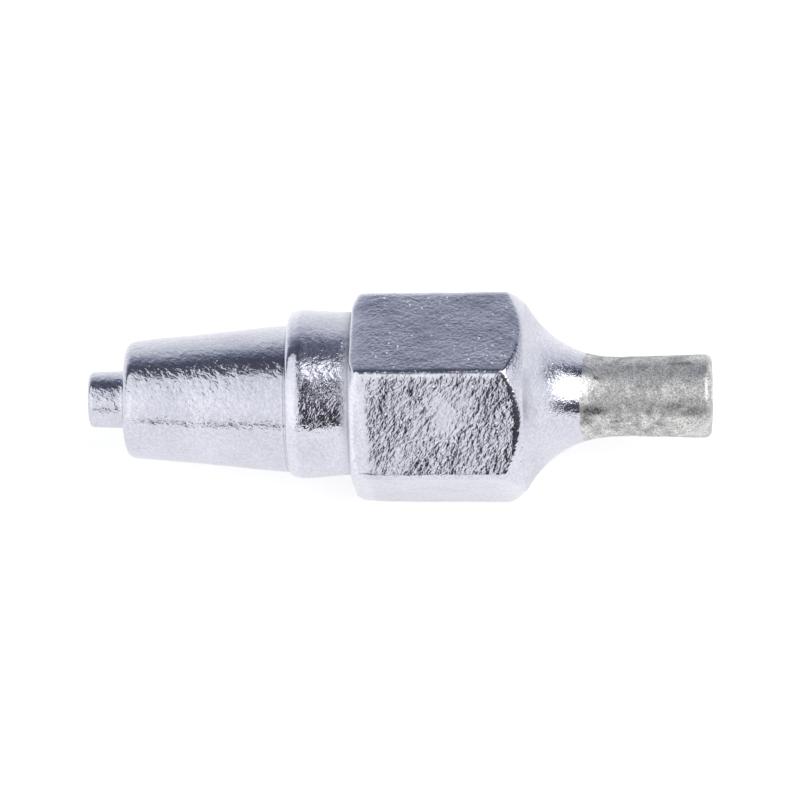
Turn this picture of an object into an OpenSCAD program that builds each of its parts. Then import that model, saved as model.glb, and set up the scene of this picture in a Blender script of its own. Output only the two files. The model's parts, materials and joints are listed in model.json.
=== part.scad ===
// Desoldering nozzle: a suction tip turned from hexagon bar, bored through, plated and tinned at its working end.
// Lengths are in mm. The nozzle lies on a flat of its hexagon at z = 0, with the working end towards +X.
// Stations along the axis are counted from the rear end.

/* [Rear stub] */
// Outside diameter of the stub that enters the vacuum tube
stub_d = 2.4; // [2.3:0.05:3]
// Length of the stub
stub_len = 1.58; // [1:0.02:3]
// Rounding of the stub's free edge
stub_round = 0.15; // [0.05:0.05:0.2]

/* [Tapered seat] */
// Diameter of the seat at its rear end
seat_rear_d = 4.9; // [4.2:0.05:5.4]
// Diameter of the seat where it meets the collar
seat_front_d = 6.25; // [5.8:0.05:6.3]
// Length of the seat
seat_len = 6.95; // [5:0.05:9]
// Rounding of the seat's rear edge
seat_round = 0.45; // [0.1:0.05:0.6]

/* [Locking collar] */
// Diameter of the collar at its crown
collar_d = 7.16; // [7:0.02:7.3]
// Diameter of the collar's land, next to the hexagon
collar_land_d = 6.94; // [6.8:0.02:6.98]
// Length of the collar
collar_len = 2.75; // [2:0.05:4]
// Length of the collar's land
collar_land_len = 0.3; // [0.2:0.05:0.8]
// Rounding of the collar's rear edge
collar_round = 0.5; // [0.1:0.05:0.5]
// Distance of the collar's centre from the nozzle's axis
collar_offset = 0.2; // [0.05:0.05:0.25]
// Direction of that offset, in degrees from straight up towards the back
collar_turn = 30; // [-180:15:180]

/* [Hexagon] */
// Distance across the flats, the spanner size
across_flats = 8; // [7.9:0.1:9]
// Length of the hexagon with both of its chamfers
hex_len = 7.32; // [4:0.02:12]
// Rounding of the edges between the flats
hex_edge_round = 0.45; // [0.05:0.05:0.6]
// Diameter at which the rear chamfer starts
rear_chamfer_d = 8.3; // [7.3:0.05:8.8]
// Angle of the rear chamfer from the end face
rear_chamfer_angle = 35; // [20:1:45]
// Diameter at which the front chamfer ends and the flare begins
front_chamfer_d = 7.8; // [7:0.05:7.85]
// Angle of the front chamfer from a plane across the axis
front_chamfer_angle = 45; // [25:1:55]

/* [Flared tip] */
// Radius of the trumpet-shaped flare
flare_r = 4.25; // [3:0.05:7]
// Diameter of the tip at its waist, over the tin
tip_d = 3.36; // [2.8:0.02:4]
// Length of the tip's straight neck, next to the flare
neck_len = 0.85; // [0.3:0.05:3]
// Length over which the tip widens from its neck to its free end
rim_len = 3.2; // [1:0.1:6]
// Diameter of the tip at its free end, over the tin
rim_d = 3.52; // [3.4:0.02:4]
// Rounding of the free end's outer edge
rim_round = 0.3; // [0.15:0.05:0.4]

/* [Tinned end] */
// Thickness of the tin on the flare and the waist
tin_t = 0.05; // [0.04:0.01:0.15]
// Thickness of the tin on the end face
tin_end_t = 0.08; // [0.05:0.01:0.14]
// How far the tin runs back along the flare
tin_on_flare = 1.4; // [0.5:0.1:2]

/* [Suction bore] */
// Diameter of the bore
bore_d = 1.8; // [0.8:0.05:1.85]
// Edge break at both mouths of the bore
mouth_break = 0.08; // [0.03:0.01:0.1]

/* [Hidden] */
$fn = 96;
plating = [0.76, 0.77, 0.81];
tin = [0.66, 0.66, 0.64];

// How far the seat runs into the collar, and the collar into the hexagon
bite = 0.5;
// How far a cutting shape passes the surface it cuts
past = 1;

seat_at = stub_len;
collar_at = seat_at + seat_len;
hex_at = collar_at + collar_len;
flare_at = hex_at + hex_len;
flare_fall = (front_chamfer_d - tip_d) / 2;
flare_len = sqrt(flare_r ^ 2 - (flare_r - flare_fall) ^ 2);
tip_at = flare_at + flare_len;
tip_len = neck_len + rim_len;
overall_len = tip_at + tip_len;
tin_at = tip_at - tin_on_flare;

// The seat's core keeps the diameter that its cone has reached inside the collar
core_d = seat_front_d + bite * (seat_front_d - seat_rear_d) / seat_len;

// The bar before turning reaches past the hexagon's corners, so that the chamfers cut all six of them
bar_r = across_flats / sqrt(3) + past;
rear_chamfer_len = (bar_r - rear_chamfer_d / 2) * tan(rear_chamfer_angle);
front_chamfer_len = (bar_r - front_chamfer_d / 2) * tan(front_chamfer_angle);

bare_tip_d = tip_d - 2 * tin_t;
bare_tip_round = rim_round - tin_end_t;

nozzle_body();
tin_coat();

// The plated body: everything but the tin
module nozzle_body() {
    color(plating) lay_down() difference() {
        union() {
            intersection() {
                rotate_extrude() difference() {
                    turned_profile();
                    tin_profile();
                }
                hexagon_bar();
            }
            collar();
        }
        suction_bore();
    }
}

// The layer of tin on the working end, flush with the plating where it stops
module tin_coat() {
    color(tin) lay_down() difference() {
        rotate_extrude() tin_profile();
        suction_bore();
    }
}

// Turns the axis from Z to X, and sets the lowest flat of the hexagon on z = 0
module lay_down() {
    translate([-overall_len / 2, 0, across_flats / 2]) rotate([0, 90, 0]) children();
}

// Half section of everything turned about the nozzle's axis, with X as the radius and Y as the station
module turned_profile() {
    shank_profile(stub_d, stub_d, stub_len + bite, stub_round);
    translate([0, seat_at]) shank_profile(seat_rear_d, core_d, seat_len + bite, seat_round);
    bar_profile();
    flare_profile(flare_at, flare_r);
    translate([0, tip_at]) square([tip_d / 2, neck_len]);
    translate([0, overall_len]) mirror([0, 1]) shank_profile(rim_d, tip_d, rim_len, rim_round);
}

// Half section of a straight or tapered shank, from its rounded end at Y = 0
module shank_profile(end_d, far_d, len, edge_round) {
    lean = atan((far_d - end_d) / (2 * len));
    centre_x = end_d / 2 + edge_round * (tan(lean) - 1 / cos(lean));
    tangent_point = [centre_x + edge_round * cos(lean), edge_round * (1 - sin(lean))];
    polygon([[0, 0], [centre_x, 0], tangent_point, [far_d / 2, len], [0, len]]);
    translate([centre_x, edge_round]) circle(r = edge_round);
}

// Half section of the core under the collar and of the bar between its chamfers
module bar_profile() {
    polygon([
        [0, collar_at + bite],
        [core_d / 2, collar_at + bite],
        [core_d / 2, hex_at],
        [rear_chamfer_d / 2, hex_at],
        [bar_r, hex_at + rear_chamfer_len],
        [bar_r, flare_at - front_chamfer_len],
        [front_chamfer_d / 2, flare_at],
        [0, flare_at]
    ]);
}

// Half section of the flare from a station on, hollowed by a circle that is tangent to the tip
module flare_profile(from, hollow_r) {
    difference() {
        translate([0, from]) square([front_chamfer_d / 2, tip_at - from]);
        translate([tip_d / 2 + flare_r, tip_at]) circle(r = hollow_r);
    }
}

// Half section of the bare working end under the tin
module bare_tip_profile() {
    flare_profile(tin_at, flare_r + tin_t);
    translate([0, overall_len - tin_end_t]) mirror([0, 1])
        shank_profile(bare_tip_d, bare_tip_d, tip_len - tin_end_t, bare_tip_round);
}

// Half section of the tin
module tin_profile() {
    difference() {
        intersection() {
            turned_profile();
            translate([0, tin_at]) square([bar_r, overall_len - tin_at]);
        }
        bare_tip_profile();
    }
}

// Hexagon bar with rounded edges, with a flat facing down once it is laid
module hexagon_bar() {
    edge_at = (across_flats / 2 - hex_edge_round) / cos(30);
    linear_extrude(height = overall_len) {
        polygon([
            for (corner = [30:60:330], side = [-30, 30])
                edge_at * [cos(corner), sin(corner)]
                    + hex_edge_round * [cos(corner + side), sin(corner + side)]
        ]);
        for (corner = [30:60:330]) rotate(corner) translate([edge_at, 0]) circle(r = hex_edge_round);
    }
}

// Locking collar, turned off centre: a crown that narrows to a short land at the hexagon
module collar() {
    rotate(180 - collar_turn) translate([collar_offset, 0, collar_at]) rotate_extrude() {
        shank_profile(collar_d, collar_land_d, collar_len - collar_land_len, collar_round);
        translate([0, collar_len - collar_land_len]) square([collar_land_d / 2, collar_land_len + bite]);
    }
}

// Bore from end to end, with a broken edge at both mouths
module suction_bore() {
    mouth_r = bore_d / 2 + mouth_break;
    rotate_extrude() polygon([
        [0, -past],
        [mouth_r + past, -past],
        [bore_d / 2, mouth_break],
        [bore_d / 2, overall_len - mouth_break],
        [mouth_r + past, overall_len + past],
        [0, overall_len + past]
    ]);
}
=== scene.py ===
import json
import math

import bmesh
import bpy
from mathutils import Matrix, Vector


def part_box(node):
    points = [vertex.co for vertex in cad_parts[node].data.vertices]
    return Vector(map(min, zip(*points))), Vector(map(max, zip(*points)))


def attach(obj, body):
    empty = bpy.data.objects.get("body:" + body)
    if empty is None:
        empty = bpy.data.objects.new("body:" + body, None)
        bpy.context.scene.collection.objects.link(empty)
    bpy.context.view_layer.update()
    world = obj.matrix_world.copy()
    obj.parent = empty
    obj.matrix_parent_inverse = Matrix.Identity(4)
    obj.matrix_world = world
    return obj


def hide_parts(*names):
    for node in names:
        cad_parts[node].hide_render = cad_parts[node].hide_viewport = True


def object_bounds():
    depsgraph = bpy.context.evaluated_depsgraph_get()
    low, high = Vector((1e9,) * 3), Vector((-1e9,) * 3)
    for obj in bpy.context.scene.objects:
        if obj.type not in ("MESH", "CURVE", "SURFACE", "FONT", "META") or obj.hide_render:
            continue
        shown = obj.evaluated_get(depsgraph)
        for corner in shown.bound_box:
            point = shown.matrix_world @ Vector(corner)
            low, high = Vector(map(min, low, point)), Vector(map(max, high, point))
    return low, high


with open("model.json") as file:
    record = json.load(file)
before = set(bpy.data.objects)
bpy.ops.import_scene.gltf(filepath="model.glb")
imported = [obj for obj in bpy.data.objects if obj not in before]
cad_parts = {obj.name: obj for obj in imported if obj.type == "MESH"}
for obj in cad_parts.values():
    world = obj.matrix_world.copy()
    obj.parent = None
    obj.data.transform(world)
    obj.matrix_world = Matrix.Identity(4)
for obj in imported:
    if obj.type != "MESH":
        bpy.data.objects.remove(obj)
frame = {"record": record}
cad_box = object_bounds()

# The nozzle is modelled in millimetres, lying along X with its rear end at the origin and its axis on X.
# place() then scales each finished mesh to metres and sets it where the CAD nodes are.
# Stations are counted along the axis from the rear end.
# Turns are counted round the axis from straight up towards the front.

MM = 0.001
OVERALL_LEN = (cad_box[1].x - cad_box[0].x) / MM
ACROSS_FLATS = (cad_box[1].z - cad_box[0].z) / MM
MOUNTS = {mount["name"]: mount for mount in frame["record"]["mounts"]}
BORE_R = MOUNTS["suction_bore"]["dims"]["r_mm"]
STUB_R = MOUNTS["rear_stub"]["dims"]["r_mm"]
TIN_AT = OVERALL_LEN - (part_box("tin_coat")[1].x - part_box("tin_coat")[0].x) / MM

# Where the rear end of the axis lies in the CAD frame, in metres
HOME = Vector((cad_box[0].x, 0, ACROSS_FLATS / 2 * MM))

# Turned and milled sizes, as in the CAD model. The collar's turn alone is counted towards the back.
STUB_LEN = 1.58
STUB_ROUND = 0.15
SEAT_REAR_R = 4.9 / 2
SEAT_FRONT_R = 6.25 / 2
SEAT_LEN = 6.95
SEAT_ROUND = 0.45
COLLAR_R = 7.16 / 2
COLLAR_LAND_R = 6.94 / 2
COLLAR_LEN = 2.75
COLLAR_OFFSET = 0.2
COLLAR_TURN = math.radians(30)
HEX_LEN = 7.32
REAR_CHAMFER_R = 8.3 / 2
REAR_CHAMFER_ANGLE = math.radians(35)
FRONT_CHAMFER_R = 7.8 / 2
FRONT_CHAMFER_ANGLE = math.radians(45)
FLARE_R = 4.25
TIP_R = 3.36 / 2
TIP_LEN = 4.05
RIM_R = 3.52 / 2
RIM_LEN = 3.2
RIM_ROUND = 0.3
TIN_T = 0.05
TIN_END_T = 0.08
MOUTH_BREAK = 0.08

# How far a piece runs into the next one, and how far a cutting shape passes what it cuts
BITE = 0.5
PAST = 1.0

COLLAR_AT = STUB_LEN + SEAT_LEN
HEX_AT = COLLAR_AT + COLLAR_LEN
FLARE_AT = HEX_AT + HEX_LEN
TIP_AT = OVERALL_LEN - TIP_LEN
BARE_END = OVERALL_LEN - TIN_END_T
CORNER_R = ACROSS_FLATS / math.sqrt(3)
BAR_R = CORNER_R + PAST

# The plating has built up towards the front of the flats, which roll off a little at both ends.
# The line where the rear roll-off starts leans towards the rear end at the top.
PLATED = 1.006
BUILD_UP = 1.01
ROLL_OFF_LEN = 0.9
ROLL_OFF_TILT = math.radians(7)
ROLL_OFF = 0.98
FRONT_ROLL_OFF_LEN = 0.36
FRONT_ROLL_OFF = 0.989

# How far each ridge is broken along its flats, and how full that edge is, from 0.5 for a round one to 1 for
# a square one. The upper ridge at the front has wide worn margins and is still crisp between them.
RIDGE, RIDGE_FULLNESS = 0.15, 0.5
WORN_RIDGE, WORN_FULLNESS = 0.36, 0.82
RIDGE_STEPS = 8

# Polishing has drawn the collar's land in and has left a smooth slope at its rear edge
COLLAR_DRAW = 0.03
COLLAR_SLOPE_LEN = 0.58
COLLAR_SLOPE = math.radians(11)
COLLAR_SLOPE_ROUND = 0.28
COLLAR_FILLET = 0.06

# The stub opens a little towards the seat
STUB_DRAW = 0.02

# The tin was dipped to a line that leans and wanders round the flare. A block of a width and a fineness
# cuts it there, and its bends and its ragged edge are reliefs of a width and a height.
DIP_SHIFT = 0.16
DIP_NORMAL = Vector((1, -0.096, 0.062))
DIP_MARGIN = 0.5
DIP_BLOCK = 9
DIP_CELLS = 90
DIP_BENDS = (0.9, 0.1)
DIP_EDGE = (0.25, 0.07)

# Relief of the plating and of the tin: widths and heights of the noise, and the share of the tin's relief
# that lies inside its skin
WAVE_WIDTH, WAVES = 1.6, 0.04
GRAIN_WIDTH, BODY_GRAIN, COLLAR_GRAIN = 0.32, 0.013, 0.016
TIN_POOLS = (0.9, 0.035)
TIN_GRAIN = (0.22, 0.014)
TIN_REST = 0.4

# A place on the upper front flat is rubbed smooth. Distances from its middle are shares of its half length
# and half height: relief is least inside the core and whole past the edge.
RUBBED_STATION = 15.35
RUBBED_RISE = 0.4
RUBBED_TURN = math.radians(60)
RUBBED_LEN, RUBBED_HEIGHT = 1.1, 2.2
RUBBED_AT = Vector((
    RUBBED_STATION,
    RUBBED_RISE * math.cos(RUBBED_TURN) - ACROSS_FLATS / 2 * math.sin(RUBBED_TURN),
    RUBBED_RISE * math.sin(RUBBED_TURN) + ACROSS_FLATS / 2 * math.cos(RUBBED_TURN)))
RUBBED_REACH = Vector((2 / RUBBED_LEN, 2 / RUBBED_HEIGHT, 2 / RUBBED_HEIGHT))
RUBBED_CORE, RUBBED_EDGE = 0.5, 1.5
RUBBED_RELIEF = 0.1

# Mesh fineness: steps of a turned piece and of its arcs, the voxel that carries the plating's relief, the
# passes that soften its edges, and the distance at which points merge
SPIN_STEPS = 192
ARC_STEP = 0.06
VOXEL = 0.088
EDGE_SMOOTHING = 5
MERGE = 0.0005

# A face looks endways when its normal's X is past this, two points lie at the same turn within this angle,
# and an edge is shaded as one from this angle on
ENDWAYS = 0.9
SAME_TURN = math.radians(1)
SHARP = math.radians(40)


# Outlines

def arc(centre, radius, start, end):
    """Points (station, radius) on an arc from one angle to another, counted from the way of the axis."""
    count = max(3, round(abs(end - start) * radius / ARC_STEP))
    angles = [start + (end - start) * i / count for i in range(count + 1)]
    return [(centre[0] + radius * math.cos(a), centre[1] + radius * math.sin(a)) for a in angles]


def line(start, end):
    """Points on a straight stretch, without its end."""
    count = max(1, round((Vector(end) - Vector(start)).length / ARC_STEP))
    return [tuple(Vector(start).lerp(Vector(end), i / count)) for i in range(count)]


def rounded_end(at, end_r, lean, edge_round):
    """The rounded edge from a shank's end face to where its side begins. The side opens by lean."""
    centre_r = end_r + edge_round * (math.tan(lean) - 1 / math.cos(lean))
    return arc((at + edge_round, centre_r), edge_round, math.pi, math.pi / 2 + lean)


def flare_arc(start, proud=0.0):
    """Points of the flare from a station to the tip, offset outwards by proud."""
    centre, radius = (TIP_AT, TIP_R + FLARE_R), FLARE_R - proud
    return arc(centre, radius, -math.pi / 2 - math.asin((TIP_AT - start) / radius), -math.pi / 2)


def bare_tip():
    """The working end under the tin, from behind the dip line to the rounded end."""
    bare_r, bare_round = TIP_R - TIN_T, RIM_ROUND - TIN_END_T
    end = arc((BARE_END - bare_round, bare_r - bare_round), bare_round, math.pi / 2, 0)
    return flare_arc(TIN_AT - DIP_MARGIN, -TIN_T) + end


# Bench work

def start_piece(name):
    """Names the primitive that was just added."""
    piece = bpy.context.object
    piece.name = piece.data.name = name
    return piece


def turn(name, outline, centre=(0.0, 0.0)):
    """Draws an outline of (station, radius) points edge by edge and spins it about an axis along X."""
    points = [Vector((station, centre[0], centre[1] + radius)) for station, radius in outline]
    bpy.ops.object.select_all(action="DESELECT")
    bpy.ops.mesh.primitive_plane_add(size=1)
    piece = start_piece(name)
    bpy.ops.object.mode_set(mode="EDIT")
    bpy.ops.mesh.select_mode(type="VERT")
    bpy.ops.mesh.select_all(action="SELECT")
    bpy.ops.mesh.merge(type="CENTER")
    bpy.ops.transform.translate(value=points[0])
    for here, there in zip(points, points[1:]):
        bpy.ops.mesh.extrude_vertices_move(TRANSFORM_OT_translate={"value": there - here})
    bpy.ops.mesh.select_all(action="SELECT")
    bpy.ops.mesh.spin(steps=SPIN_STEPS, angle=2 * math.pi, center=(0, *centre), axis=(1, 0, 0))
    bpy.ops.mesh.select_all(action="SELECT")
    bpy.ops.mesh.remove_doubles(threshold=MERGE)
    bpy.ops.mesh.normals_make_consistent(inside=False)
    bpy.ops.object.mode_set(mode="OBJECT")
    return piece


def pick(piece, parts, chosen):
    """Selects the faces or edges of a piece in edit mode that pass a test."""
    bpy.ops.mesh.select_mode(type="FACE" if parts == "faces" else "EDGE")
    bpy.ops.mesh.select_all(action="DESELECT")
    mesh = bmesh.from_edit_mesh(piece.data)
    for part in getattr(mesh, parts):
        part.select_set(chosen(part))
    bmesh.update_edit_mesh(piece.data)


def work(piece, kind, **settings):
    """Adds a modifier with its settings and applies it."""
    bpy.ops.object.select_all(action="DESELECT")
    piece.select_set(True)
    bpy.context.view_layer.objects.active = piece
    modifier = piece.modifiers.new(kind.title(), kind)
    for setting, value in settings.items():
        setattr(modifier, setting, value)
    bpy.ops.object.modifier_apply(modifier=modifier.name)


def combine(piece, tool, operation):
    """Joins, cuts or trims a piece with another, which is then used up."""
    work(piece, "BOOLEAN", object=tool, operation=operation, solver="EXACT")
    bpy.data.objects.remove(tool)


def relief(piece, name, width, height, rest=0.5, group=""):
    """Raises and sinks the surface by a soft noise of a width and a height. A share of it lies inside."""
    noise = bpy.data.textures.new(name, "CLOUDS")
    noise.noise_scale = width
    noise.noise_depth = 1
    work(piece, "DISPLACE", texture=noise, texture_coords="LOCAL", strength=height, mid_level=rest,
         vertex_group=group)


def place(piece, material):
    """Scales the mesh to metres, sets it where the CAD nodes are, smooths it and gives it its finish."""
    bpy.ops.object.select_all(action="DESELECT")
    piece.select_set(True)
    bpy.context.view_layer.objects.active = piece
    piece.location = HOME
    piece.scale = (MM, MM, MM)
    bpy.ops.object.transform_apply(location=True, rotation=True, scale=True)
    bpy.ops.object.shade_smooth_by_angle(angle=SHARP)
    piece.vertex_groups.clear()
    piece.data.materials.clear()
    piece.data.materials.append(material)


# Pieces

def is_ridge(edge):
    """True for the edges between two flats of the hexagon bar, before they are broken."""
    near, far = (vertex.co for vertex in edge.verts)
    return abs(near.x - far.x) > FRONT_ROLL_OFF_LEN / 2 and near.yz.angle(far.yz) < SAME_TURN


def is_worn(edge):
    """True for the upper ridge at the front."""
    middle = (edge.verts[0].co + edge.verts[1].co) / 2
    return middle.y < 0 < middle.z - ACROSS_FLATS / 4


def hexagon_bar():
    """Hexagon bar, flat side down, with broken ridges. It opens to the front and rolls off at both ends."""
    front_roll_at = FLARE_AT - FRONT_ROLL_OFF_LEN
    bpy.ops.object.select_all(action="DESELECT")
    bpy.ops.mesh.primitive_cylinder_add(
        vertices=6, radius=PLATED * CORNER_R, depth=front_roll_at - HEX_AT,
        location=((front_roll_at + HEX_AT) / 2, 0, 0), rotation=(0, math.pi / 2, 0))
    bar = start_piece("hexagon_bar")
    bpy.ops.object.transform_apply(location=True, rotation=True, scale=True)
    bpy.ops.object.mode_set(mode="EDIT")
    bpy.ops.mesh.select_all(action="SELECT")
    bpy.ops.mesh.bisect(
        plane_co=(HEX_AT + ROLL_OFF_LEN, 0, 0),
        plane_no=(math.cos(ROLL_OFF_TILT), 0, math.sin(ROLL_OFF_TILT)))
    pick(bar, "faces", lambda face: face.normal.x > ENDWAYS)
    bpy.ops.transform.resize(value=(1, BUILD_UP, BUILD_UP), center_override=(0, 0, 0))
    bpy.ops.mesh.extrude_region_move(TRANSFORM_OT_translate={"value": (FRONT_ROLL_OFF_LEN, 0, 0)})
    bpy.ops.transform.resize(value=(1, FRONT_ROLL_OFF, FRONT_ROLL_OFF), center_override=(0, 0, 0))
    bpy.ops.mesh.extrude_region_move(TRANSFORM_OT_translate={"value": (OVERALL_LEN, 0, 0)})
    pick(bar, "faces", lambda face: face.normal.x < -ENDWAYS)
    bpy.ops.transform.resize(value=(1, ROLL_OFF, ROLL_OFF), center_override=(0, 0, 0))
    bpy.ops.mesh.extrude_region_move(TRANSFORM_OT_translate={"value": (-OVERALL_LEN, 0, 0)})
    for worn, reach, fullness in ((True, WORN_RIDGE, WORN_FULLNESS), (False, RIDGE, RIDGE_FULLNESS)):
        pick(bar, "edges", lambda edge: is_ridge(edge) and is_worn(edge) == worn)
        bpy.ops.mesh.bevel(offset=reach, segments=RIDGE_STEPS, profile=fullness, affect="EDGES")
    bpy.ops.object.mode_set(mode="OBJECT")
    return bar


def turned_blank():
    """Everything that is turned about the nozzle's axis, with the bar still round at the hexagon."""
    stub_lean = math.atan(2 * STUB_DRAW / STUB_LEN)
    seat_lean = math.atan((SEAT_FRONT_R - SEAT_REAR_R) / SEAT_LEN)
    core_r = SEAT_FRONT_R + BITE * math.tan(seat_lean)
    outline = [(0, 0)]
    outline += rounded_end(0, STUB_R - STUB_DRAW, stub_lean, STUB_ROUND)
    outline += [(STUB_LEN, STUB_R + STUB_DRAW)]
    outline += rounded_end(STUB_LEN, SEAT_REAR_R, seat_lean, SEAT_ROUND)
    outline += [(COLLAR_AT + BITE, core_r), (HEX_AT, core_r), (HEX_AT, REAR_CHAMFER_R)]
    outline += [(HEX_AT + (BAR_R - REAR_CHAMFER_R) * math.tan(REAR_CHAMFER_ANGLE), BAR_R)]
    outline += [(FLARE_AT - (BAR_R - FRONT_CHAMFER_R) * math.tan(FRONT_CHAMFER_ANGLE), BAR_R)]
    outline += flare_arc(FLARE_AT)
    outline += [(OVERALL_LEN, TIP_R), (OVERALL_LEN, 0)]
    return turn("plated_body", outline)


def locking_collar():
    """The collar, turned off centre: a slope up to the crown and a taper to a fillet at the hexagon."""
    land_r = COLLAR_LAND_R - COLLAR_DRAW
    rear_r = COLLAR_R - COLLAR_SLOPE_LEN * math.tan(COLLAR_SLOPE)
    outline = [(COLLAR_AT, 0)]
    outline += rounded_end(COLLAR_AT, rear_r, COLLAR_SLOPE, COLLAR_SLOPE_ROUND)
    outline += [(COLLAR_AT + COLLAR_SLOPE_LEN, COLLAR_R)]
    outline += [(HEX_AT - COLLAR_FILLET, land_r), (HEX_AT, land_r + COLLAR_FILLET)]
    outline += [(HEX_AT + BITE, land_r + COLLAR_FILLET), (HEX_AT + BITE, 0)]
    centre = (COLLAR_OFFSET * math.sin(COLLAR_TURN), COLLAR_OFFSET * math.cos(COLLAR_TURN))
    return turn("locking_collar", outline, centre)


def bore_drill():
    """The shape that the bore takes out, with a broken edge at both mouths."""
    wide = BORE_R + MOUTH_BREAK + PAST
    return turn("bore_drill", [
        (-PAST, 0), (-PAST, wide), (MOUTH_BREAK, BORE_R),
        (OVERALL_LEN - MOUTH_BREAK, BORE_R), (OVERALL_LEN + PAST, wide), (OVERALL_LEN + PAST, 0)])


def dip_line():
    """A block whose wavy front face is the line that the tin stops at."""
    bpy.ops.object.select_all(action="DESELECT")
    bpy.ops.mesh.primitive_grid_add(
        x_subdivisions=DIP_CELLS, y_subdivisions=DIP_CELLS, size=DIP_BLOCK,
        location=(TIN_AT + DIP_SHIFT, 0, 0), rotation=DIP_NORMAL.to_track_quat("Z", "Y").to_euler())
    block = start_piece("dip_line")
    bpy.ops.object.transform_apply(location=True, rotation=True, scale=True)
    relief(block, "dip_bends", *DIP_BENDS)
    relief(block, "dip_edge", *DIP_EDGE)
    bpy.ops.object.mode_set(mode="EDIT")
    bpy.ops.mesh.select_mode(type="FACE")
    bpy.ops.mesh.select_all(action="SELECT")
    bpy.ops.mesh.extrude_region_move(TRANSFORM_OT_translate={"value": (-2 * PAST, 0, 0)})
    bpy.ops.mesh.select_all(action="SELECT")
    bpy.ops.mesh.normals_make_consistent(inside=False)
    bpy.ops.object.mode_set(mode="OBJECT")
    return block


def tin_seat():
    """What the tin takes the place of: all that lies outside the bare working end, past the dip line."""
    clear_r, clear_end = TIP_R + 2 * PAST, OVERALL_LEN + PAST
    bare = bare_tip()
    outside = [(BARE_END, 0), (clear_end, 0), (clear_end, clear_r), (bare[0][0], clear_r), bare[0]]
    seat = turn("tin_seat", bare + outside)
    combine(seat, dip_line(), "DIFFERENCE")
    return seat


def coat(piece, waves, grain):
    """Lays the plating on: edges soften, and waves and grain go into the mesh, less where it is rubbed."""
    work(piece, "REMESH", mode="VOXEL", voxel_size=VOXEL)
    work(piece, "SMOOTH", factor=0.5, iterations=EDGE_SMOOTHING)
    rough = piece.vertex_groups.new(name="rough")
    for vertex in piece.data.vertices:
        share = ((vertex.co - RUBBED_AT) * RUBBED_REACH).length
        left = (share - RUBBED_CORE) / (RUBBED_EDGE - RUBBED_CORE)
        rough.add([vertex.index], min(1.0, max(RUBBED_RELIEF, left)), "REPLACE")
    relief(piece, piece.name + "_waves", WAVE_WIDTH, waves, group="rough")
    relief(piece, piece.name + "_grain", GRAIN_WIDTH, grain, group="rough")


def plated_body(material):
    """The plated body: turned, milled and coated, with crisp corners where the collar stands up."""
    body = turned_blank()
    combine(body, hexagon_bar(), "INTERSECT")
    coat(body, WAVES, BODY_GRAIN)
    collar = locking_collar()
    coat(collar, WAVES, COLLAR_GRAIN)
    combine(body, collar, "UNION")
    combine(body, tin_seat(), "DIFFERENCE")
    combine(body, bore_drill(), "DIFFERENCE")
    place(body, material)
    return body


def tinned_end(material):
    """The layer of tin on the working end, a closed shell with an uneven skin and a ragged edge."""
    rim_lean = math.atan((TIP_R - RIM_R) / RIM_LEN)
    rim = rounded_end(OVERALL_LEN, RIM_R, rim_lean, RIM_ROUND)
    rim = [(2 * OVERALL_LEN - station, r) for station, r in reversed(rim)]
    rim_start = (OVERALL_LEN - RIM_LEN, TIP_R)
    mouth = (OVERALL_LEN, BORE_R + MOUTH_BREAK)
    outline = flare_arc(TIN_AT - DIP_MARGIN)[:-1]
    outline += line((TIP_AT, TIP_R), rim_start) + line(rim_start, rim[0]) + rim
    outline += line((OVERALL_LEN, rim[-1][1] - ARC_STEP), mouth)
    outline += [mouth, (BARE_END, BORE_R)]
    outline += reversed(bare_tip())
    outline += [outline[0]]
    tin = turn("tinned_end", outline)
    combine(tin, dip_line(), "DIFFERENCE")
    skin = tin.vertex_groups.new(name="skin")
    for vertex in tin.data.vertices:
        station, r = vertex.co.x, vertex.co.yz.length
        back = max(0, TIP_AT - station)
        middle_r = TIP_R + FLARE_R - math.sqrt((FLARE_R + TIN_T / 2) ** 2 - back ** 2)
        if r > middle_r or station > OVERALL_LEN - TIN_END_T / 2:
            skin.add([vertex.index], 1.0, "REPLACE")
    relief(tin, "tin_pools", *TIN_POOLS, TIN_REST, "skin")
    relief(tin, "tin_grain", *TIN_GRAIN, TIN_REST, "skin")
    place(tin, material)
    return tin


# Finishes

# Nearly all of a noise lies between these
NOISE_LOW, NOISE_HIGH = 0.3, 0.7


def linear(hex_colour):
    """Linear RGBA of an sRGB hex colour."""
    parts = [int(hex_colour[i:i + 2], 16) / 255 for i in (1, 3, 5)]
    return [c / 12.92 if c <= 0.04045 else ((c + 0.055) / 1.055) ** 2.4 for c in parts] + [1.0]


def add(tree, kind, links=None, stops=(), **settings):
    """Adds a node with its settings. links gives inputs values or nodes' outputs, stops fill a ramp."""
    # A Mix node takes numbers at its inputs 2 and 3, and colours at 6 and 7, which it gives at its output 2
    node = tree.nodes.new(kind)
    for setting, value in settings.items():
        setattr(node, setting, value)
    for socket, source in (links or {}).items():
        if isinstance(source, bpy.types.NodeSocket):
            tree.links.new(source, node.inputs[socket])
        else:
            node.inputs[socket].default_value = source
    for i, (position, colour) in enumerate(stops):
        elements = node.color_ramp.elements
        if i == 0:
            elements.remove(elements[1])
            elements[0].position = position
        element = elements.new(position) if i else elements[0]
        element.color = linear(colour)
    return node


def new_material(name):
    """A material with an empty node tree."""
    material = bpy.data.materials.new(name)
    material.use_nodes = True
    material.node_tree.nodes.clear()
    return material


def at_station(station):
    """A station's X in the CAD frame, in metres."""
    return cad_box[0].x + station * MM


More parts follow.
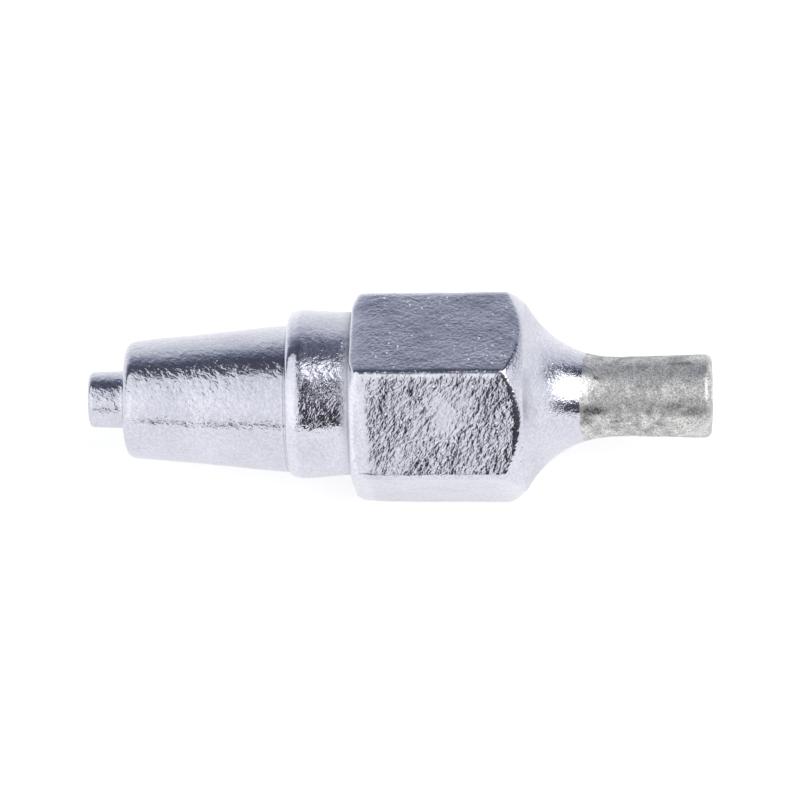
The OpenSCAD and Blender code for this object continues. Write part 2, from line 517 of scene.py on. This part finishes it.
def share_of_reach(tree, spot, centre, reach):
    """How far a spot lies from a centre in the CAD frame, with each axis times its own reach per mm."""
    away = add(tree, "ShaderNodeVectorMath", {0: spot, 1: centre}, operation="SUBTRACT").outputs[0]
    away = add(tree, "ShaderNodeVectorMath", {0: away, 1: reach / MM}, operation="MULTIPLY").outputs[0]
    return add(tree, "ShaderNodeVectorMath", {0: away}, operation="LENGTH").outputs["Value"]


# Grain of the plating: where it starts, how its streaks tilt up and lean forward in degrees, their stretch,
# width and height, and half the length over which one grain gives way to the next
GRAINS = [
    (0, 25, -30, 1.5, 0.17, 0.025),
    (STUB_LEN, 25, -35, 1.6, 0.19, 0.021),
    (COLLAR_AT, -60, 0, 2.2, 0.15, 0.0175),
    (HEX_AT, -60, 0, 1.9, 0.15, 0.02),
    (FLARE_AT, 0, 0, 1.2, 0.11, 0.014)]
GRAIN_BLEND = 0.1

# Pits in the plating: their spacing, their reach and their bottom as shares of it, the random numbers from
# which there is a pit and from which it is deepest, the depths on the hexagon and elsewhere, and the length
# over which the one gives way to the other
PIT_SPACING = 0.2
PIT_REACH, PIT_BOTTOM = 0.22, 0.04
PITTED_FROM, DEEPEST_FROM = 0.5, 0.8
HEX_PIT, PIT = 0.034, 0.014
HEX_PIT_BLEND = 0.2

# Widths of the drift in the gloss and of the clouds and patches in the tint. Patches and what is left of
# the grain shift the tint, and the grain is weaker and stronger by patches.
DRIFT_WIDTH, CLOUD_WIDTH, PATCH_WIDTH = 0.8, 0.12, 1.8
PATCH_TINT, GRAIN_TINT = 0.4, -0.35
WEAK_GRAIN, STRONG_GRAIN = 0.65, 1.35

# The ridge between the top flat and the upper front one
UPPER_RIDGE = Vector((0, -CORNER_R / 2, ACROSS_FLATS / 2))

# Smooth places: the middle, the factors for the way from it along each axis, the shares between which the
# grain comes back, and how much of it is left in the middle. They are the rubbed place, the worn ridge, and
# the polished rear ends of the collar and of the hexagon.
SMOOTH_PLACES = [
    (RUBBED_AT, RUBBED_REACH, RUBBED_CORE, RUBBED_EDGE, 0.14),
    (UPPER_RIDGE, Vector((0, 1, 1)), 0.16, 0.36, 0.35),
    (Vector((COLLAR_AT + 0.2, 0, 0)), Vector((1 / 0.35, 0, 0)), 0.6, 1.2, 0.4),
    (Vector((HEX_AT + 0.36, 0, 0)), Vector((1 / 0.46, 0, 0)), 0.6, 1.2, 0.4)]

# Inner corners that get a dark line of painted shade: station, how far it spreads back from there, and how
# dark it gets. The line ends a little behind the corner, so that it doesn't climb the next face.
CORNERS = [(STUB_LEN, 0.1, 0.5), (COLLAR_AT, 0.08, 0.45), (HEX_AT, 0.14, 0.55)]
CORNER_GAP = 0.03

# Roughness of the plating: the least, and its drift on the polished part and where the flare begins. That
# satin comes up just behind the flare, holds for a while and fades to a share of it.
MIRROR = 0.025
POLISHED_DRIFT, SATIN_DRIFT = 0.06, 0.6
SATIN_FROM, SATIN_HOLDS, SATIN_FADED = FLARE_AT - 0.2, FLARE_AT + 0.4, FLARE_AT + 1.0
SATIN_LEFT = 0.22

# The collar's land is matte behind the hexagon, with a sandy border that the clouds shift
LAND_ROUGHNESS = 0.42
LAND_FROM, LAND_FULL = HEX_AT - 0.25, HEX_AT + 0.1
SANDY = 0.6


def plating_relief(tree, spot, station):
    """Height of the plating: streaks that change along the nozzle, and pits, deepest on the hexagon."""
    grain = None
    for start, tilt, lean, stretch, width, height in GRAINS:
        along = add(tree, "ShaderNodeMapping", {
            "Vector": spot, "Rotation": (0, math.radians(tilt), math.radians(lean)),
            "Scale": (stretch, 1, 1)}, vector_type="TEXTURE").outputs[0]
        streaks = add(tree, "ShaderNodeTexNoise", {
            "Vector": along, "Scale": 1 / (width * MM), "Detail": 1.8, "Roughness": 0.6,
            "Distortion": 0.35}).outputs["Fac"]
        streaks = add(tree, "ShaderNodeMath", {0: streaks, 1: height * MM}, operation="MULTIPLY").outputs[0]
        if grain:
            reached = add(tree, "ShaderNodeMapRange", {
                "Value": station, "From Min": at_station(start - GRAIN_BLEND),
                "From Max": at_station(start + GRAIN_BLEND)}).outputs["Result"]
            streaks = add(tree, "ShaderNodeMix", {
                "Factor": reached, 2: grain, 3: streaks}, data_type="FLOAT").outputs[0]
        grain = streaks
    cells = add(tree, "ShaderNodeTexVoronoi", {"Vector": spot, "Scale": 1 / (PIT_SPACING * MM)}).outputs
    pit = add(tree, "ShaderNodeMapRange", {
        "Value": cells["Distance"], "From Min": PIT_REACH, "From Max": PIT_BOTTOM}).outputs["Result"]
    hex_middle = at_station((HEX_AT + FLARE_AT) / 2)
    off_hex = add(tree, "ShaderNodeMath", {0: station, 1: hex_middle}, operation="SUBTRACT").outputs[0]
    off_hex = add(tree, "ShaderNodeMath", {0: off_hex}, operation="ABSOLUTE").outputs[0]
    deepest = add(tree, "ShaderNodeMapRange", {
        "Value": off_hex, "From Min": (HEX_LEN / 2 - HEX_PIT_BLEND) * MM, "From Max": HEX_LEN / 2 * MM,
        "To Min": -HEX_PIT * MM, "To Max": -PIT * MM}).outputs["Result"]
    depth = add(tree, "ShaderNodeMapRange", {
        "Value": cells["Color"], "From Min": PITTED_FROM, "From Max": DEEPEST_FROM,
        "To Max": deepest}).outputs["Result"]
    return add(tree, "ShaderNodeMath", {0: pit, 1: depth, 2: grain}, operation="MULTIPLY_ADD").outputs[0]


def grain_left(tree, spot):
    """How much of the grain is left, from little in the smooth places to all of it away from them."""
    left = None
    for centre, reach, nearest, farthest, least in SMOOTH_PLACES:
        share = share_of_reach(tree, spot, HOME + centre * MM, reach)
        here = add(tree, "ShaderNodeMapRange", {
            "Value": share, "From Min": nearest, "From Max": farthest, "To Min": least}).outputs["Result"]
        if left:
            here = add(tree, "ShaderNodeMath", {0: left, 1: here}, operation="MULTIPLY").outputs[0]
        left = here
    return left


def painted_corner_shade(tree, station):
    """How dark the painted shade in the inner corners is."""
    painted_shade = None
    for at, spread, darkness in CORNERS:
        corner = at_station(at - CORNER_GAP)
        near = add(tree, "ShaderNodeMapRange", {
            "Value": station, "From Min": corner - spread * MM, "From Max": corner,
            "To Max": darkness}).outputs["Result"]
        behind = add(tree, "ShaderNodeMath", {0: station, 1: corner}, operation="LESS_THAN").outputs[0]
        here = add(tree, "ShaderNodeMath", {0: near, 1: behind}, operation="MULTIPLY").outputs[0]
        if painted_shade:
            here = add(tree, "ShaderNodeMath", {0: painted_shade, 1: here}, operation="MAXIMUM").outputs[0]
        painted_shade = here
    return painted_shade


def plating_roughness(tree, spot, station, clouds):
    """A mirror with a faint drift, satin where the flare begins, and a matte land on the collar."""
    drift = add(tree, "ShaderNodeTexNoise", {
        "Vector": spot, "Scale": 1 / (DRIFT_WIDTH * MM), "Detail": 3.0, "Roughness": 0.7}).outputs["Fac"]
    satin = add(tree, "ShaderNodeMapRange", {
        "Value": station, "From Min": at_station(SATIN_FROM), "From Max": at_station(FLARE_AT),
        "To Min": POLISHED_DRIFT, "To Max": SATIN_DRIFT}).outputs["Result"]
    fading = add(tree, "ShaderNodeMapRange", {
        "Value": station, "From Min": at_station(SATIN_HOLDS), "From Max": at_station(SATIN_FADED),
        "To Min": 1.0, "To Max": SATIN_LEFT}).outputs["Result"]
    satin = add(tree, "ShaderNodeMath", {0: satin, 1: fading}, operation="MULTIPLY").outputs[0]
    polish = add(tree, "ShaderNodeMath", {
        0: drift, 1: satin, 2: MIRROR}, operation="MULTIPLY_ADD").outputs[0]
    sandy = add(tree, "ShaderNodeMath", {
        0: clouds, 1: SANDY * MM, 2: station}, operation="MULTIPLY_ADD").outputs[0]
    land = add(tree, "ShaderNodeMapRange", {
        "Value": sandy, "From Min": at_station(LAND_FROM), "From Max": at_station(LAND_FULL),
        "To Max": LAND_ROUGHNESS}).outputs["Result"]
    behind = add(tree, "ShaderNodeMath", {
        0: station, 1: at_station(HEX_AT - CORNER_GAP)}, operation="LESS_THAN").outputs[0]
    land = add(tree, "ShaderNodeMath", {0: land, 1: behind}, operation="MULTIPLY").outputs[0]
    return add(tree, "ShaderNodeMath", {0: polish, 1: land}, operation="MAXIMUM").outputs[0]


def bright_plating():
    # Nickel and chrome plated on rough copper: a bluish mirror that the metal's grain breaks into short
    # streaks, with a faint drift of tint and gloss, a few pits, and painted shade in the inner corners.
    material = new_material("bright_plating")
    tree = material.node_tree
    spot = add(tree, "ShaderNodeTexCoord").outputs["Object"]
    station = add(tree, "ShaderNodeSeparateXYZ", {"Vector": spot}).outputs["X"]
    clouds = add(tree, "ShaderNodeTexNoise", {
        "Vector": spot, "Scale": 1 / (CLOUD_WIDTH * MM), "Detail": 2.0, "Roughness": 0.6}).outputs["Fac"]
    patches = add(tree, "ShaderNodeTexNoise", {
        "Vector": spot, "Scale": 1 / (PATCH_WIDTH * MM), "Detail": 1.0}).outputs["Fac"]
    left = grain_left(tree, spot)
    tinted = add(tree, "ShaderNodeMath", {
        0: patches, 1: PATCH_TINT, 2: clouds}, operation="MULTIPLY_ADD").outputs[0]
    tinted = add(tree, "ShaderNodeMath", {
        0: left, 1: GRAIN_TINT, 2: tinted}, operation="MULTIPLY_ADD").outputs[0]
    tint = add(tree, "ShaderNodeValToRGB", {"Fac": tinted}, [
        (0.15, "#C8C9D3"), (0.35, "#D3D4DE"), (0.65, "#E2E3EC")]).outputs["Color"]
    # Painted shade: the colour darkens towards a dark grey in the inner corners.
    colour = add(tree, "ShaderNodeMix", {
        "Factor": painted_corner_shade(tree, station), 6: tint, 7: linear("#4A4A52")}, data_type="RGBA").outputs[2]
    patchy = add(tree, "ShaderNodeMapRange", {
        "Value": patches, "From Min": NOISE_LOW, "From Max": NOISE_HIGH,
        "To Min": WEAK_GRAIN, "To Max": STRONG_GRAIN}).outputs["Result"]
    strength = add(tree, "ShaderNodeMath", {0: left, 1: patchy}, operation="MULTIPLY").outputs[0]
    bump = add(tree, "ShaderNodeBump", {
        "Height": plating_relief(tree, spot, station), "Strength": strength,
        "Distance": 1.0}).outputs["Normal"]
    roughness = plating_roughness(tree, spot, station, clouds)
    shader = add(tree, "ShaderNodeBsdfPrincipled", {
        "Base Color": colour, "Metallic": 1.0, "Roughness": roughness, "Normal": bump})
    add(tree, "ShaderNodeOutputMaterial", {"Surface": shader.outputs["BSDF"]})
    return material


# Burnt flux on the tin: station, turn in degrees, length along the axis, width round it and how dark it is.
# Centres lie just outside the tip, and a stain fades between two shares of its half length and half width.
STAINS = [
    (21.4, 64, 1.5, 0.45, 1.0),
    (21.05, 77, 1.0, 0.62, 0.95),
    (25.2, -9, 1.1, 0.4, 0.9),
    (24.8, 58, 1.2, 0.5, 0.75),
    (25.6, 65, 1.0, 0.5, 0.8),
    (22.4, 82, 1.1, 0.2, 0.8),
    (21.6, 16, 0.7, 0.22, 1.0)]
STAIN_R = TIP_R * 1.04
STAIN_EDGE, STAIN_CORE = 1.4, 0.5

# Widths of the tin's mottle, grit and freckles, the grit's height, and how far the grit shifts the borders
# of stains and of the painted pale bands
MOTTLE_WIDTH, GRIT_WIDTH, FRECKLE_WIDTH = 0.5, 0.15, 0.065
GRIT = 0.014
RAGGED = 0.4

# Freckles darken the tin between two values of their noise, and break up the stains between two others,
# down to a share of their darkness
FRECKLE_FROM, FRECKLE_FULL, FRECKLE_DARK = 0.38, 0.68, 0.64
BROKEN, UNBROKEN, BROKEN_DARK = 0.35, 0.6, 0.35

# Painted light: the tin's colour is made paler low down and along its top: heights at which that begins and
# is full, and how much paler it gets. The heights are counted from the axis at the nozzle's middle, and
# fall towards the tip.
LOW_FROM, LOW_FULL, LOW_PALER = 1.5, 1.36, 0.12
TOP_FROM, TOP_FULL, TOP_PALER = 1.9, 2.3, 0.1
PAINTED_LIGHT_FALL = 0.06

# Roughness of the tin: in its middle, at its ends and where its mottle is palest. The middle reaches up to
# one share of the tin's half length, and the ends begin at another.
TIN_DULL, TIN_END_DULL, TIN_PALE_DULL = 0.78, 0.41, 0.4
MIDDLE_TO, ENDS_FROM = 0.58, 0.95


def tin_stains(tree, ragged):
    """How dark the burnt flux is. Centres move by half of RAGGED, as the ragged spots do on average."""
    stained = None
    for station, turned, length, width, darkness in STAINS:
        turned = math.radians(turned)
        centre = Vector((station, -STAIN_R * math.sin(turned), STAIN_R * math.cos(turned)))
        centre = HOME + (centre + Vector((RAGGED, RAGGED, RAGGED)) / 2) * MM
        share = share_of_reach(tree, ragged, centre, Vector((2 / length, 2 / width, 2 / width)))
        stain = add(tree, "ShaderNodeMapRange", {
            "Value": share, "From Min": STAIN_EDGE, "From Max": STAIN_CORE,
            "To Max": darkness}).outputs["Result"]
        if stained:
            stain = add(tree, "ShaderNodeMath", {0: stained, 1: stain}, operation="MAXIMUM").outputs[0]
        stained = stain
    return stained


def dull_tin():
    # Tin from a solder bath, dulled by heat and flux: a soft grey metal, mottled and finely pitted, with
    # painted light that makes it paler low down and along its top, and with freckles and burnt stains.
    material = new_material("dull_tin")
    tree = material.node_tree
    spot = add(tree, "ShaderNodeTexCoord").outputs["Object"]
    mottle = add(tree, "ShaderNodeTexNoise", {
        "Vector": spot, "Scale": 1 / (MOTTLE_WIDTH * MM), "Detail": 5.0, "Roughness": 0.7}).outputs["Fac"]
    grit = add(tree, "ShaderNodeTexNoise", {
        "Vector": spot, "Scale": 1 / (GRIT_WIDTH * MM), "Detail": 3.0, "Roughness": 0.65,
        "Distortion": 0.4}).outputs
    ragged = add(tree, "ShaderNodeVectorMath", {
        0: grit["Color"], 1: (RAGGED * MM,) * 3, 2: spot}, operation="MULTIPLY_ADD").outputs[0]
    height = add(tree, "ShaderNodeVectorMath", {
        0: ragged, 1: (PAINTED_LIGHT_FALL, 0, 1)}, operation="DOT_PRODUCT").outputs["Value"]
    # Painted light: the mottle is raised low down and along the top, so that the tin's colour is paler
    # there.
    mottle_with_painted_light = mottle
    for start, full, paler in ((LOW_FROM, LOW_FULL, LOW_PALER), (TOP_FROM, TOP_FULL, TOP_PALER)):
        painted_light = add(tree, "ShaderNodeMapRange", {
            "Value": height, "From Min": HOME.z + start * MM, "From Max": HOME.z + full * MM,
            "To Max": paler}).outputs["Result"]
        mottle_with_painted_light = add(tree, "ShaderNodeMath", {0: mottle_with_painted_light, 1: painted_light}, operation="ADD").outputs[0]
    metal = add(tree, "ShaderNodeValToRGB", {"Fac": mottle_with_painted_light}, [
        (0.3, "#A8A8A9"), (0.44, "#C5C5C6"), (0.56, "#D9D9D8"), (0.7, "#F4F3F1")]).outputs["Color"]
    freckles = add(tree, "ShaderNodeTexNoise", {
        "Vector": spot, "Scale": 1 / (FRECKLE_WIDTH * MM), "Detail": 2.0, "Roughness": 0.6}).outputs["Fac"]
    freckled = add(tree, "ShaderNodeMapRange", {
        "Value": freckles, "From Min": FRECKLE_FROM, "From Max": FRECKLE_FULL,
        "To Max": FRECKLE_DARK}).outputs["Result"]
    broken = add(tree, "ShaderNodeMapRange", {
        "Value": freckles, "From Min": BROKEN, "From Max": UNBROKEN, "To Min": BROKEN_DARK,
        "To Max": 1.0}).outputs["Result"]
    burnt = add(tree, "ShaderNodeMath", {
        0: tin_stains(tree, ragged), 1: broken}, operation="MULTIPLY").outputs[0]
    burnt = add(tree, "ShaderNodeMath", {0: burnt, 1: freckled}, operation="MAXIMUM").outputs[0]
    colour = add(tree, "ShaderNodeMix", {
        "Factor": burnt, 6: metal, 7: linear("#484743")}, data_type="RGBA").outputs[2]
    station = add(tree, "ShaderNodeSeparateXYZ", {"Vector": spot}).outputs["X"]
    middle = at_station((TIN_AT + OVERALL_LEN) / 2)
    half_len = (OVERALL_LEN - TIN_AT) / 2 * MM
    off_middle = add(tree, "ShaderNodeMath", {0: station, 1: middle}, operation="SUBTRACT").outputs[0]
    off_middle = add(tree, "ShaderNodeMath", {0: off_middle}, operation="ABSOLUTE").outputs[0]
    dullness = add(tree, "ShaderNodeMapRange", {
        "Value": off_middle, "From Min": MIDDLE_TO * half_len, "From Max": ENDS_FROM * half_len,
        "To Min": TIN_DULL, "To Max": TIN_END_DULL}).outputs["Result"]
    dullness = add(tree, "ShaderNodeMapRange", {
        "Value": mottle, "From Min": NOISE_LOW, "From Max": NOISE_HIGH, "To Min": dullness,
        "To Max": TIN_PALE_DULL}).outputs["Result"]
    bump = add(tree, "ShaderNodeBump", {
        "Height": grit["Fac"], "Strength": 1.0, "Distance": GRIT * MM}).outputs["Normal"]
    shader = add(tree, "ShaderNodeBsdfPrincipled", {
        "Base Color": colour, "Metallic": 1.0, "Roughness": dullness, "Normal": bump})
    add(tree, "ShaderNodeOutputMaterial", {"Surface": shader.outputs["BSDF"]})
    return material


# Studio

# What the plating mirrors, as a colour at each turn in degrees. A white back wall darkens up to the dark
# gap overhead. Then come the front wall, which differs from left to right, and the floor's edge.
BACK_WALL = [(-180, "#EEEEF0"), (-95, "#EEEEF0"), (-68, "#D9DBDF"), (-56.5, "#C5C7CD"), (-46.5, "#A2A6B3")]
FAR_LEFT_FRONT = [
    (-38.5, "#787C8C"), (-30, "#575A69"), (-16, "#4F515E"), (-9, "#E6E7EB"), (47, "#FFFFFF"),
    (90.5, "#FFFFFF")]
LEFT_FRONT = [
    (-38.5, "#787C8C"), (-30, "#575A69"), (-23, "#4C4E5C"), (-1.5, "#515360"), (6, "#DEDFE4"),
    (47, "#F0F0F3"), (85.5, "#EDEDF0"), (86, "#747479"), (90, "#747479"), (90.5, "#F3F3F5")]
MIDDLE_FRONT = [
    (-38.5, "#787C8C"), (-30, "#575A69"), (-23, "#4C4E5C"), (16, "#515360"), (30, "#9A9CA6"),
    (48, "#F0F0F3"), (85.5, "#EDEDF0"), (86, "#4A484E"), (91, "#4A484E"), (91.5, "#F3F3F5")]
RIGHT_FRONT = [
    (-38.5, "#8C8F9E"), (-30, "#727584"), (-23, "#6C6F7C"), (-6, "#70727E"), (5, "#C2C2C8"),
    (22, "#CACAD0"), (30, "#3E3A44"), (57, "#403C47"), (72, "#444048"), (88, "#29272D"), (90.5, "#F3F3F5")]
FAR_RIGHT_FRONT = [
    (-42, "#6C7080"), (-34, "#494C5A"), (-6, "#454753"), (2, "#EAEAED"), (50, "#E6E6E9"), (60, "#645F6A"),
    (72, "#55525A"), (88, "#3C3A40"), (90.5, "#F3F3F5")]

# Stretches of the front wall from left to right, each with its border to the one before: the directions' X
# between which it takes over, and how far that border bends to the left down at the floor's edge. The first
# stretch begins at the left end.
FRONT_WALL = [
    (FAR_LEFT_FRONT, -1, -1, 0),
    (LEFT_FRONT, -0.38, -0.28, 0),
    (MIDDLE_FRONT, -0.16, -0.11, 0),
    (RIGHT_FRONT, -0.07, 0.03, 0.1),
    (FAR_RIGHT_FRONT, 0.1, 0.22, 0)]
BEND_FROM, BEND_TO = math.radians(47), math.radians(90)
BEND_POWER = 3.3

# The tent's white ends, from one X of the direction to another, and the light and shade of its folds
TENT_END = "#E8E9EC"
END_FROM, END_FULL = 0.9, 0.98
FOLD_FINENESS = 16.0
FOLD_SHADE, FOLD_LIGHT = 1.12, 1.3

# Lamps in the tent: shape, direction, width and height in metres, and brightness
LAMPS = {
    "side_lamp": ("ELLIPSE", (0.7, -0.19, 0.69), 0.56, 0.44, 1.1),
    "side_halo": ("ELLIPSE", (0.7, -0.2, 0.69), 0.68, 0.58, 0.5),
    "strip_lamp": ("RECTANGLE", (0.14, -0.21, 0.97), 0.13, 0.24, 0.75)}
LAMP_DISTANCE = 0.6

# The floor's width in metres, and its own glow to the camera and in the metal, which lifts it to white
FLOOR_WIDTH = 4.0
GLOW_SEEN, GLOW_MIRRORED = 0.72, 0.64

# The photograph's view
AZIMUTH, ELEVATION, ROLL = math.radians(6), math.radians(46.8), math.radians(4.72)
VIEW_DISTANCE, VIEW_WIDTH, VIEW_LIFT = 280 * MM, 33.87 * MM, 0.093 * MM
SENSOR_WIDTH = 36


def light_tent():
    """The white tent round the nozzle, as light by direction, with the dark room at its front right."""
    world = bpy.data.worlds.new("light_tent")
    world.use_nodes = True
    tree = world.node_tree
    tree.nodes.clear()
    direction = add(tree, "ShaderNodeTexCoord").outputs["Generated"]
    way = add(tree, "ShaderNodeSeparateXYZ", {"Vector": direction}).outputs
    forward = add(tree, "ShaderNodeMath", {0: way["Y"], 1: -1.0}, operation="MULTIPLY").outputs[0]
    turned = add(tree, "ShaderNodeMath", {0: forward, 1: way["Z"]}, operation="ARCTAN2").outputs[0]
    share = add(tree, "ShaderNodeMapRange", {
        "Value": turned, "From Min": -math.pi, "From Max": math.pi}).outputs["Result"]
    low = add(tree, "ShaderNodeMapRange", {
        "Value": turned, "From Min": BEND_FROM, "From Max": BEND_TO}).outputs["Result"]
    low = add(tree, "ShaderNodeMath", {0: low, 1: BEND_POWER}, operation="POWER").outputs[0]
    tent = None
    for front, start, end, bend in FRONT_WALL:
        stops = [((angle + 180) / 360, colour) for angle, colour in BACK_WALL + front]
        stretch = add(tree, "ShaderNodeValToRGB", {"Fac": share}, stops).outputs["Color"]
        if tent:
            across = add(tree, "ShaderNodeMath", {
                0: low, 1: bend, 2: way["X"]}, operation="MULTIPLY_ADD").outputs[0]
            beyond = add(tree, "ShaderNodeMapRange", {
                "Value": across, "From Min": start, "From Max": end},
                interpolation_type="SMOOTHSTEP").outputs["Result"]
            stretch = add(tree, "ShaderNodeMix", {
                "Factor": beyond, 6: tent, 7: stretch}, data_type="RGBA").outputs[2]
        tent = stretch
    aside = add(tree, "ShaderNodeMath", {0: way["X"]}, operation="ABSOLUTE").outputs[0]
    to_end = add(tree, "ShaderNodeMapRange", {
        "Value": aside, "From Min": END_FROM, "From Max": END_FULL},
        interpolation_type="SMOOTHSTEP").outputs["Result"]
    tent = add(tree, "ShaderNodeMix", {
        "Factor": to_end, 6: tent, 7: linear(TENT_END)}, data_type="RGBA").outputs[2]
    folds = add(tree, "ShaderNodeTexNoise", {
        "Vector": direction, "Scale": FOLD_FINENESS, "Detail": 2.0, "Roughness": 0.6}).outputs["Fac"]
    shade = add(tree, "ShaderNodeMapRange", {
        "Value": folds, "From Min": NOISE_LOW, "From Max": NOISE_HIGH, "To Min": FOLD_SHADE,
        "To Max": FOLD_LIGHT}).outputs["Result"]
    tent = add(tree, "ShaderNodeVectorMath", {0: tent, "Scale": shade}, operation="SCALE").outputs[0]
    seen = add(tree, "ShaderNodeLightPath").outputs["Is Camera Ray"]
    colour = add(tree, "ShaderNodeMix", {
        "Factor": seen, 6: tent, 7: linear("#FFFFFF")}, data_type="RGBA").outputs[2]
    background = add(tree, "ShaderNodeBackground", {"Color": colour, "Strength": 1.0})
    add(tree, "ShaderNodeOutputWorld", {"Surface": background.outputs["Background"]})
    bpy.context.scene.world = world


def softbox(name, shape, way, width, height, brightness):
    """A lamp inside the tent, seen only in the metal. It lies in a direction from the nozzle, facing it."""
    way = Vector(way).normalized()
    data = bpy.data.lights.new(name, "AREA")
    data.shape = shape
    data.size, data.size_y = width, height
    data.energy = brightness * math.pi * width * height
    lamp = bpy.data.objects.new(name, data)
    bpy.context.scene.collection.objects.link(lamp)
    lamp.location = way * LAMP_DISTANCE
    lamp.rotation_euler = way.to_track_quat("Z", "Y").to_euler()
    lamp.visible_camera = False


def white_floor():
    """A plain white floor that keeps the nozzle's soft shadow."""
    bpy.ops.object.select_all(action="DESELECT")
    bpy.ops.mesh.primitive_plane_add(size=FLOOR_WIDTH)
    floor = start_piece("floor")
    # Matt white paper: an even ground, without gloss or grain
    material = new_material("white_floor")
    tree = material.node_tree
    paper = add(tree, "ShaderNodeBsdfDiffuse", {"Color": linear("#BCBCBC")})
    path = add(tree, "ShaderNodeLightPath").outputs
    mirrored = add(tree, "ShaderNodeMath", {
        0: path["Is Glossy Ray"], 1: path["Is Transmission Ray"]}, operation="MAXIMUM").outputs[0]
    mirrored = add(tree, "ShaderNodeMath", {0: mirrored, 1: GLOW_MIRRORED}, operation="MULTIPLY").outputs[0]
    strength = add(tree, "ShaderNodeMath", {
        0: path["Is Camera Ray"], 1: GLOW_SEEN, 2: mirrored}, operation="MULTIPLY_ADD").outputs[0]
    glow = add(tree, "ShaderNodeEmission", {"Color": linear("#FFFFFF"), "Strength": strength})
    both = add(tree, "ShaderNodeAddShader", {0: paper.outputs[0], 1: glow.outputs[0]})
    add(tree, "ShaderNodeOutputMaterial", {"Surface": both.outputs[0]})
    floor.data.materials.append(material)


def camera():
    """Looks from the front and above, a little from the right, turned so that the nozzle lies level."""
    level = math.cos(ELEVATION)
    back = Vector((math.sin(AZIMUTH) * level, -math.cos(AZIMUTH) * level, math.sin(ELEVATION)))
    aim = (-back).to_track_quat("-Z", "Y").to_matrix().to_4x4() @ Matrix.Rotation(-ROLL, 4, "Z")
    target = Vector((0, 0, ACROSS_FLATS / 2 * MM)) - aim.to_3x3() @ Vector((0, VIEW_LIFT, 0))
    data = bpy.data.cameras.new("camera")
    data.sensor_width = SENSOR_WIDTH
    data.lens = SENSOR_WIDTH * VIEW_DISTANCE / VIEW_WIDTH
    data.clip_start, data.clip_end = 0.001, 10
    view = bpy.data.objects.new("camera", data)
    bpy.context.scene.collection.objects.link(view)
    view.matrix_world = Matrix.Translation(target + back * VIEW_DISTANCE) @ aim
    bpy.context.scene.camera = view


body = plated_body(bright_plating())
tin = tinned_end(dull_tin())
for piece, node, slot in ((body, "nozzle_body", "plating"), (tin, "tin_coat", "tin")):
    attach(piece, "root")
    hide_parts(node)

light_tent()
for name, settings in LAMPS.items():
    softbox(name, *settings)
white_floor()
camera()
bpy.context.scene.view_settings.view_transform = "Standard"
